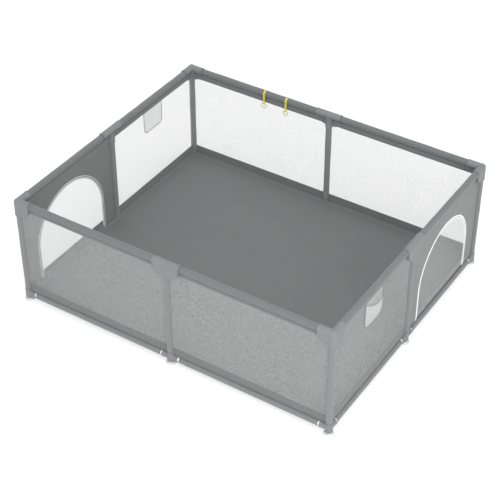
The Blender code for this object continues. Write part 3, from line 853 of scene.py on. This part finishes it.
def build_posts_cover():
    low, high = BOTTOM + FOOT_RISE + GAP, TOP - TOP_DROP - GAP
    for index, (name, (sx, sy, _)) in enumerate(CORNERS.items()):
        mesh = sleeve_mesh((0, 0, low), (0, 0, high), 700 + index)
        matrix = Matrix.Translation((sx * RAIL_X, sy * RAIL_Y, 0))
        wall = ["wall_" + name.split("_")[0]]
        made = piece("post_sleeve_" + name, mesh, LIT_POST_CLOTH, "frame", wall, "cover", matrix)
    for index, side in enumerate(TURN):
        mesh = sleeve_mesh((0, 0, low), (0, 0, high), 710 + index)
        world, wall = to_world(side), ["wall_" + side]
        made = piece("post_sleeve_" + side, mesh, LIT_POST_CLOTH, "frame", wall, "cover", world)


def floor_stations(half):
    """Where the floor's mesh lines lie: close together where it turns up at an edge."""
    edge = [FLOOR_EDGE + 0.0022 * i for i in range(11)]
    inner = np.linspace(0, half - edge[-1] - 0.008, 52)[1:]
    positive = np.concatenate([inner, half - np.array(edge[::-1])])
    return np.concatenate([-positive[::-1], [0.0], positive])


def build_floor():
    """The floor sheet, a little slack, whose edges turn up over the bottom rails."""
    across, deep = floor_stations(RAIL_X), floor_stations(RAIL_Y)

    def place(s, t):
        u = across[np.rint(s * (len(across) - 1)).astype(int)]
        v = deep[np.rint(t * (len(deep) - 1)).astype(int)]
        edge = np.minimum(RAIL_X - abs(u), RAIL_Y - abs(v))
        held = np.clip((edge - 0.02) / 0.12, 0, 1)
        held = held * held * (3 - 2 * held)
        sag = FLOOR_SAG * held * (1 + 0.35 * ripple(u, v, 900, 0.7))
        over = BOTTOM + np.sqrt(np.clip(FLOOR_OVER**2 - edge**2, 0, None))
        return u, v, np.maximum(FLOOR_TOP - 0.001 - sag, over)

    mesh = tidy(sheet_mesh(len(across) - 1, len(deep) - 1, place))
    made = piece("floor_sheet", mesh, FLOOR_CLOTH, "frame", ["floor_cloth"], "cover")
    rests = [f"sleeve_bottom_{side}_{half}" for side in TURN for half in HALVES[side]]


# ---------------------------------------------------------------------- doors
def door_sheet():
    """The mesh of a door flap, in its side's own frame."""
    radius, straight = DOOR_RADIUS, DOOR_SPRING - DOOR_FOLD
    share = straight / (straight + radius * math.pi / 2)

    def place(s, t):
        rise = np.clip(t / share, 0, 1)
        angle = np.clip((t - share) / (1 - share), 0, 1) * math.pi / 2
        half = radius * np.cos(angle)
        z = DOOR_FOLD + straight * rise + radius * np.sin(angle)
        x = half * (2 * s - 1)
        loose = np.sin(math.pi * s) * np.sin(math.pi * np.clip(t, 0, 1))
        return DOOR_X + x, 0.0030 * loose * (ripple(x, z * 0.5, 77, 0.22) + 0.3), z

    return tidy(sheet_mesh(36, 44, place))


def arch_path(radius, low, out):
    return [(DOOR_X + x, -out, z) for x, z in arch(radius, low)]


def build_door(side):
    world, body, node = to_world(side), side + "_door", "door_" + side
    wall = ["wall_" + side]
    flap = piece("flap_" + side, door_sheet(), DOOR_MESH, body, [node], "door_mesh", world)
    edge = sweep(arch_path(DOOR_RADIUS - 0.0030, DOOR_FOLD + 0.001, 0), 0.0011, 0.0027)
    edge = piece("flap_binding_" + side, edge, WHITE, body, [node], None, world)
    low, high = DOOR_FOLD + 0.001, SKIRT_TOP
    reach = DOOR_RADIUS - 0.006
    skirt = band_mesh(DOOR_X - reach, DOOR_X + reach, low, high, 0.0012, 810)
    skirt.transform(Matrix.Translation((0, 0.0020, 0)))
    skirt = piece("flap_skirt_" + side, skirt, SKIRT_CLOTH, body, [node], "cover", world)
    sill = BOTTOM + SLEEVE - 0.001
    for name, radius, out, deep, wide, material in (
        ("piping_outside_", 0.0066, 0.0012, PIPING_DEPTH, PIPING, WHITE),
        ("piping_outer_line_", 0.0122, -0.0020, PIPING_INSIDE, PIPING_INSIDE, WHITE),
        ("piping_inner_line_", 0.0022, -0.0020, PIPING_INSIDE, PIPING_INSIDE, WHITE),
        ("zip_tape_", 0.0072, -0.0016, ZIP_TAPE, ZIP_TAPE, DARK_TAPE_AND_PAINTED_SHADE),
        ("zip_coil_", 0.0006, 0.0, ZIP_COIL, ZIP_COIL, DARK_TAPE_AND_PAINTED_SHADE),
    ):
        mesh = sweep(arch_path(DOOR_RADIUS + radius, sill, out), deep, wide)
        piece(name + side, mesh, material, "frame", wall, None, world)
    build_slider(side)


def rounded_box(low, high, bevel):
    low, high = Vector(low), Vector(high)
    bm = bmesh.new()
    bmesh.ops.create_cube(bm, size=1)
    bmesh.ops.scale(bm, vec=high - low, verts=bm.verts)
    bmesh.ops.translate(bm, vec=(low + high) / 2, verts=bm.verts)
    bmesh.ops.bevel(bm, geom=bm.edges, offset=bevel, segments=3, affect="EDGES", profile=0.5)
    return mesh_of(bm, "block")


def build_slider(side):
    """The zip's slider: a rounded body with a bridge, and a wire pull that hangs from it."""
    low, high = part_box("zip_slider_" + side)
    centre = (low + high) / 2
    out = 1 if side == "right" else -1
    back, front = (low.x, high.x) if out > 0 else (high.x, low.x)
    body_low = high.z - SLIDER_BODY
    inner, outer = sorted((back, front - out * 0.0008))
    body = rounded_box((inner, low.y, body_low), (outer, high.y, high.z), 0.0009)
    x = front - out * BRIDGE_OUT
    inner, outer = sorted((x, front))
    bridge_low = inner, centre.y - BRIDGE_HALF, body_low + 0.002
    bridge_high = outer, centre.y + BRIDGE_HALF, high.z - 0.002
    bridge = rounded_box(bridge_low, bridge_high, 0.0004)
    tall = (body_low + 0.003 - low.z) / 2
    path = []  # a rounded oblong
    for step in range(32):
        angle = 2 * math.pi * step / 32
        across, up = (math.copysign(abs(f(angle)) ** 0.6, f(angle)) for f in (math.cos, math.sin))
        z = low.z + tall + (tall - PULL_WIRE) * up
        path.append((x, centre.y + PULL_HALF * across, z))
    pull = sweep(path, PULL_WIRE, PULL_WIRE, 8, loop=True, flat_axis=(1, 0, 0))
    mesh = tidy(joined([body, bridge, pull]))
    rides, node = side + "_zip_slider", ["zip_slider_" + side]
    piece("slider_" + side, mesh, ZIP_METAL, rides, node, "zip_metal")


# -------------------------------------------------------------------- pockets
def pocket_half(z, low):
    """Half the pocket's width at a height, with round lower corners."""
    below = np.clip(low + POCKET_CORNER - z, 0, POCKET_CORNER)
    return POCKET_HALF - POCKET_CORNER + np.sqrt(POCKET_CORNER**2 - below**2)


def pocket_lip(across):
    """Height of the pocket's lip, which sags in the middle; across is from -1 to 1."""
    return POCKET_HIGH.z + POCKET_RISE - POCKET_SAG * (1 - across**2)


def pocket_out(across, z, low):
    """How far the pouch stands out from the wall."""
    share = np.clip((z - low) / (POCKET_HIGH.z - low), 0, 1)
    depth = 0.0035 + (POCKET_DEPTH - 0.0055) * share**0.8
    return 0.0030 + depth * (1 - np.abs(across) ** 2.6) ** 0.8


def pocket_surface(pouch, hem):
    low = POCKET_LOW.z + 0.001

    def place(s, t):
        across = 2 * s - 1
        top = pocket_lip(across) if pouch else hem + 0.002 + 0 * across
        fall = 1 - (1 - t) ** 1.4
        z = top + (low - top) * fall
        x = POCKET_MIDDLE + pocket_half(z, low) * across
        out = pocket_out(across, z, low) if pouch else 0.0030 + 0 * across
        return x, -out, z

    return tidy(sheet_mesh(28, 28, place))


def build_pocket(side):
    world, node = to_world(side), ["pocket_" + side]
    low = POCKET_LOW.z + 0.001
    hem = HEM_BOTTOM[side]
    pouch, backing = (
        piece(name + side, mesh, POCKET_MESH, "frame", node, "pocket_mesh", world)
        for name, mesh in (
            ("pouch_", pocket_surface(True, hem)),
            ("pocket_backing_", pocket_surface(False, hem)),
        )
    )
    top, bend = hem + 0.003, low + POCKET_CORNER
    path = [(POCKET_HALF, top + (bend - top) * i / 8) for i in range(8)]
    for centre, start in ((POCKET_HALF - POCKET_CORNER, 0), (POCKET_CORNER - POCKET_HALF, -90)):
        for step in range(9):
            angle = math.radians(start - 90 * step / 8)
            x, z = POCKET_CORNER * math.cos(angle), POCKET_CORNER * math.sin(angle)
            path.append((centre + x, bend + z))
    path += [(-POCKET_HALF, bend + (top - bend) * i / 8) for i in range(1, 9)]
    edge = sweep([(POCKET_MIDDLE + x, -0.0034, z) for x, z in path], 0.0011, BINDING)
    edge = piece("pocket_binding_" + side, edge, BINDING_GREY, "frame", node, None, world)
    lip = []
    for across in np.linspace(-0.985, 0.985, 40):
        z = pocket_lip(across)
        lip.append((POCKET_MIDDLE + POCKET_HALF * across, -float(pocket_out(across, z, low)), z))
    lip = sweep(lip, 0.0016, 0.0016)
    lip = piece("pocket_lip_" + side, lip, BINDING_GREY, "frame", node, None, world)


# ------------------------------------------------------------- straps, rings
def strap_path(y, eye):
    """Up over the sleeve from its sewn end, down, round the ring's eye and back, as (y, z)."""
    top_radius = SLEEVE + STRAP_THICK
    points = []
    for step in range(17):
        angle = math.radians(95 + 85 * step / 16)
        points.append((RAIL_Y + top_radius * math.cos(angle), TOP + top_radius * math.sin(angle)))
    reach, back = eye + STRAP_EYE + 0.003, points[-1][0] - y
    points += [(y + back * (1 - i / 8), TOP + (reach - TOP) * i / 8) for i in range(1, 9)]
    for step in range(21):
        angle = math.radians(115 + 310 * step / 20)
        points.append((y + STRAP_EYE * math.cos(angle), eye + STRAP_EYE * math.sin(angle)))
    return points


def build_pull(side):
    hinge = JOINTS[side + "_strap_swing"]["pos_m"]
    eye = JOINTS[side + "_ring_swing"]["pos_m"][2]
    path = [(hinge[0], y, z) for y, z in strap_path(hinge[1], eye)]
    mesh = sweep(path, STRAP_WIDTH / 2, STRAP_THICK / 2, 12, flat_axis=(1, 0, 0))
    strap = piece("strap_" + side, mesh, YELLOW, None, ["pull_strap_" + side], "strap_webbing")
    start, end = (hinge[0], hinge[1], TOP + 0.009), (hinge[0], hinge[1], TOP - 0.006)
    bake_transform(strap)
    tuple(start)
    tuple(end)
    ring = []
    for step in range(48):
        angle = 2 * math.pi * step / 48
        x, z = RING_RADIUS * math.sin(angle), RING_RADIUS * math.cos(angle)
        ring.append((hinge[0] + x, hinge[1], eye - RING_RADIUS + z))
    mesh = sweep(ring, RING_SECTION, RING_SECTION, 20, loop=True)
    piece("ring_" + side, mesh, RING, side + "_ring", ["pull_ring_" + side], "ring_plastic")


# ------------------------------------------------------------------- stitches
def stitch_row(start, end, out, height):
    """A row of short raised stitches along a side, as one mesh."""
    count = int((end - start) / STITCH_PITCH)
    points, faces = [], []
    for index in range(count):
        x = start + STITCH_PITCH * (index + 0.5)
        half, thick = STITCH_LENGTH / 2, STITCH_RADIUS
        base = len(points)
        points += [
            (x - half, out, height),
            (x, out - thick, height),
            (x, out, height + thick),
            (x, out + thick, height),
            (x, out, height - thick),
            (x + half, out, height),
        ]
        for i in range(4):
            one, two = base + 1 + i, base + 1 + (i + 1) % 4
            faces += [(base, one, two), (base + 5, two, one)]
    mesh = bpy.data.meshes.new("stitches")
    mesh.from_pydata(points, [], faces)
    return mesh


def build_stitches():
    for side in TURN:
        rows = []
        for which in (0, 1):
            start, end = bay_range(side, which)
            start, end = start + 0.006, end - 0.006
            has_door = side in ("left", "right") and which == 1
            sewn_seams_and_shade_lines = [(HEM_THICK / 2, HEM_BOTTOM[side] + 0.006)]
            if not has_door:
                sewn_seams_and_shade_lines.append((SKIRT_THICK / 2, SKIRT_TOP - 0.005))
            for out, height in sewn_seams_and_shade_lines:
                rows += [stitch_row(start, end, sign * out, height) for sign in (-1, 1)]
        mesh = tidy(joined(rows))
        piece("stitches_" + side, mesh, THREAD, "frame", ["wall_" + side], None, to_world(side))


# ------------------------------------------------------------ camera and room
def build_camera():
    data = bpy.data.cameras.new("camera")
    data.lens = 100.89
    data.sensor_width = 36.0
    data.clip_end = 60.0
    camera = bpy.data.objects.new("camera", data)
    bpy.context.scene.collection.objects.link(camera)
    camera.location = (3.1841, -4.9884, 4.9223)
    azimuth, elevation = math.radians(32.739), math.radians(38.556)
    forward = Vector(
        (
            -math.sin(azimuth) * math.cos(elevation),
            math.cos(azimuth) * math.cos(elevation),
            -math.sin(elevation),
        )
    )
    camera.rotation_euler = forward.to_track_quat("-Z", "Y").to_euler()
    bpy.context.scene.camera = camera


def build_room():
    scene = bpy.context.scene
    scene.view_settings.view_transform = "Standard"
    made = Nodes("studio_floor")
    made.shader.inputs["Base Color"].default_value = (0.38, 0.38, 0.38, 1)
    made.shader.inputs["Roughness"].default_value = 0.9
    made.shader.inputs["Emission Color"].default_value = (1, 1, 1, 1)
    made.shader.inputs["Emission Strength"].default_value = 0.62
    ground = bpy.data.meshes.new("studio_floor")
    far = 14.0
    corners = [(-far, -far, 0), (far, -far, 0), (far, far, 0), (-far, far, 0)]
    ground.from_pydata(corners, [], [(0, 1, 2, 3)])
    ground.materials.append(made.material)
    floor = bpy.data.objects.new("studio_floor", ground)
    floor.location.z = -0.0006
    scene.collection.objects.link(floor)
    floor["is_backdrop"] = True
    world = bpy.data.worlds.new("studio")
    scene.world = world
    world.use_nodes = True
    world.node_tree.nodes["Background"].inputs["Color"].default_value = (1, 1, 1, 1)
    world.node_tree.nodes["Background"].inputs["Strength"].default_value = 1.05
    add_light("key", (4.5, -3.0, 3.2), 3.5, 150)
    add_light("overhead", (-0.5, 0.6, 5.5), 5.0, 40)
    add_light("front", (1.2, -5.5, 2.0), 3.0, 75)


def add_light(name, place, size, power):
    data = bpy.data.lights.new(name, "AREA")
    data.size = size
    data.energy = power
    light = bpy.data.objects.new(name, data)
    light.location = place
    light.rotation_euler = (-Vector(place)).to_track_quat("-Z", "Y").to_euler()
    bpy.context.scene.collection.objects.link(light)


build_camera()
build_room()
build_tubes()
build_connectors()
for side_name in TURN:
    for half in (0, 1):
        build_bay(side_name, half)
build_posts_cover()
build_floor()
for side_name in ("left", "right"):
    build_door(side_name)
    build_pocket(side_name)
    build_pull(side_name)
build_stitches()

bpy.context.view_layer.update()
boxes = {"cad": CAD_BOX, "visual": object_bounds()}
{key: [list(corner) for corner in box] for key, box in boxes.items()}
